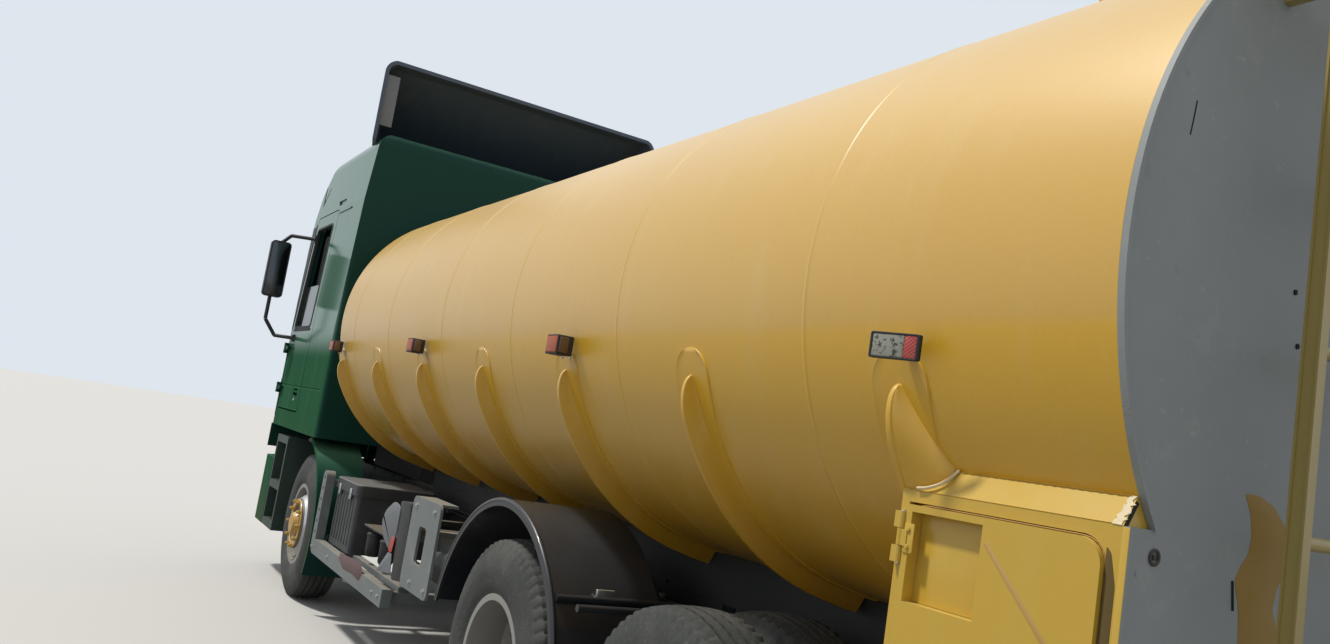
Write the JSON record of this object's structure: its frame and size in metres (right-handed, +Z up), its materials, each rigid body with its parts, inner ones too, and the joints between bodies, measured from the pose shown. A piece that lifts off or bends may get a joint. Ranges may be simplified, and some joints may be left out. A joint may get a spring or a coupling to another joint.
{
  "type": "tank truck",
  "caption": "Cab-over tank truck with a ribbed oval tank, hinged doors and lids, a tilting cab, steering and rolling wheels.",
  "frame": {"origin": "on the ground at the middle of the truck's length and width", "axes": "+X points forward to the cab, +Y to the truck's left side, +Z up"},
  "size_m": [8.78, 3.118, 4.19],
  "materials": {
    "tank_paint": "worn gloss paint",
    "cabinet_paint": "worn gloss paint",
    "plate_paint": "matte paint",
    "ladder_paint": "worn gloss paint",
    "cab_paint": "gloss paint",
    "deflector_paint": "satin paint",
    "frame_paint": "dusty satin paint",
    "carrier_paint": "dusty satin paint",
    "bumper_paint": "dusty gloss paint",
    "step_plastic": "dusty",
    "guard_plastic": "dusty",
    "black_plastic": "satin",
    "axle_steel": "dusty",
    "engine_iron": "oily",
    "tank_alloy": "brushed",
    "silencer_steel": "heat tinted",
    "battery_plastic": "dusty",
    "air_tank_paint": "satin",
    "lamp_plastic": "clear lenses",
    "glass": "tinted",
    "seat_fabric": "woven",
    "trim_plastic": "grained",
    "tyre": "worn and dusty",
    "rim_paint": "dusty satin paint",
    "pipe_steel": "worn"
  },
  "bodies": {
    "chassis": {"frame_rails": "frame_paint", "front_bumper": "bumper_paint", "cab_steps": "step_plastic", "front_fenders": "bumper_paint", "front_axle": "axle_steel", "rear_bogie": "axle_steel", "engine_block": "engine_iron", "fuel_tank": "tank_alloy", "silencer": "silencer_steel", "side_carrier": "carrier_paint", "battery_box": "battery_plastic", "air_tanks": "air_tank_paint", "tank_shell": "tank_paint", "tank_ribs": "tank_paint", "tank_subframe": "frame_paint", "tank_coamings": "tank_paint", "rear_plate": "plate_paint", "rear_ladder": "ladder_paint", "outlet_pipe": "pipe_steel", "rear_bumper": "carrier_paint", "mudguards": "guard_plastic", "lamps": "lamp_plastic", "cabinet_left": "cabinet_paint", "cabinet_right": "cabinet_paint"},
    "cab": {"cab_shell": "cab_paint", "windscreen": "glass", "cab_grille": "black_plastic", "roof_deflector": "deflector_paint", "seats": "seat_fabric", "dashboard": "trim_plastic", "steering_wheel": "black_plastic"},
    "lid_rear": {"lid_rear": "tank_paint"},
    "lid_front": {"lid_front": "tank_paint"},
    "door_left": {"cab_door_left": "cab_paint", "door_glass_left": "glass", "mirror_left": "black_plastic"},
    "knuckle_left": {"knuckle_left": "axle_steel"},
    "front_wheel_left": {"front_tyres_left": "tyre", "front_rims_left": "rim_paint"},
    "middle_wheels_left": {"middle_tyres_left": "tyre", "middle_rims_left": "rim_paint"},
    "rear_wheels_left": {"rear_tyres_left": "tyre", "rear_rims_left": "rim_paint"},
    "cabinet_door_left": {"cabinet_door_left": "cabinet_paint"},
    "door_right": {"cab_door_right": "cab_paint", "door_glass_right": "glass", "mirror_right": "black_plastic"},
    "knuckle_right": {"knuckle_right": "axle_steel"},
    "front_wheel_right": {"front_tyres_right": "tyre", "front_rims_right": "rim_paint"},
    "middle_wheels_right": {"middle_tyres_right": "tyre", "middle_rims_right": "rim_paint"},
    "rear_wheels_right": {"rear_tyres_right": "tyre", "rear_rims_right": "rim_paint"},
    "cabinet_door_right": {"cabinet_door_right": "cabinet_paint"}
  },
  "joints": [
    {"name": "cab_tilt", "type": "hinge", "parent": "chassis", "child": "cab", "pos_m": [4.3, 0, 0.98], "axis": [0, 1, 0], "range_deg": [0, 50]},
    {"name": "door_left_hinge", "type": "hinge", "parent": "cab", "child": "door_left", "pos_m": [4.211, 1.262, 1.7], "axis": [0, 0, -1], "range_deg": [0, 70]},
    {"name": "steer_left", "type": "hinge", "parent": "chassis", "child": "knuckle_left", "pos_m": [2.83, 0.85, 0.538], "axis": [0, 0, 1], "range_deg": [-38, 38]},
    {"name": "front_wheel_left_spin", "type": "hinge", "parent": "knuckle_left", "child": "front_wheel_left", "pos_m": [2.83, 1.034, 0.538], "axis": [0, 1, 0], "continuous": true},
    {"name": "middle_wheels_left_spin", "type": "hinge", "parent": "chassis", "child": "middle_wheels_left", "pos_m": [-1.34, 0.893, 0.538], "axis": [0, 1, 0], "continuous": true},
    {"name": "rear_wheels_left_spin", "type": "hinge", "parent": "chassis", "child": "rear_wheels_left", "pos_m": [-2.69, 0.893, 0.538], "axis": [0, 1, 0], "continuous": true},
    {"name": "cabinet_door_left_hinge", "type": "hinge", "parent": "chassis", "child": "cabinet_door_left", "pos_m": [-3.671, 1.202, 1.15], "axis": [0, 0, -1], "range_deg": [0, 110]},
    {"name": "door_right_hinge", "type": "hinge", "parent": "cab", "child": "door_right", "pos_m": [4.211, -1.262, 1.7], "axis": [0, 0, 1], "range_deg": [0, 70]},
    {"name": "steer_right", "type": "hinge", "parent": "chassis", "child": "knuckle_right", "pos_m": [2.83, -0.85, 0.538], "axis": [0, 0, 1], "range_deg": [-38, 38]},
    {"name": "front_wheel_right_spin", "type": "hinge", "parent": "knuckle_right", "child": "front_wheel_right", "pos_m": [2.83, -1.034, 0.538], "axis": [0, 1, 0], "continuous": true},
    {"name": "middle_wheels_right_spin", "type": "hinge", "parent": "chassis", "child": "middle_wheels_right", "pos_m": [-1.34, -0.893, 0.538], "axis": [0, 1, 0], "continuous": true},
    {"name": "rear_wheels_right_spin", "type": "hinge", "parent": "chassis", "child": "rear_wheels_right", "pos_m": [-2.69, -0.893, 0.538], "axis": [0, 1, 0], "continuous": true},
    {"name": "cabinet_door_right_hinge", "type": "hinge", "parent": "chassis", "child": "cabinet_door_right", "pos_m": [-3.671, -1.202, 1.15], "axis": [0, 0, 1], "range_deg": [0, 110]},
    {"name": "lid_rear_hinge", "type": "hinge", "parent": "chassis", "child": "lid_rear", "pos_m": [-3.555, 0, 3.1926], "axis": [0, 1, 0], "range_deg": [0, 95]},
    {"name": "lid_front_hinge", "type": "hinge", "parent": "chassis", "child": "lid_front", "pos_m": [0.635, 0, 3.1926], "axis": [0, 1, 0], "range_deg": [0, 95]}
  ],
  "couplings": [
    {"joint": "steer_right", "follows": "steer_left", "ratio": 1}
  ]
}
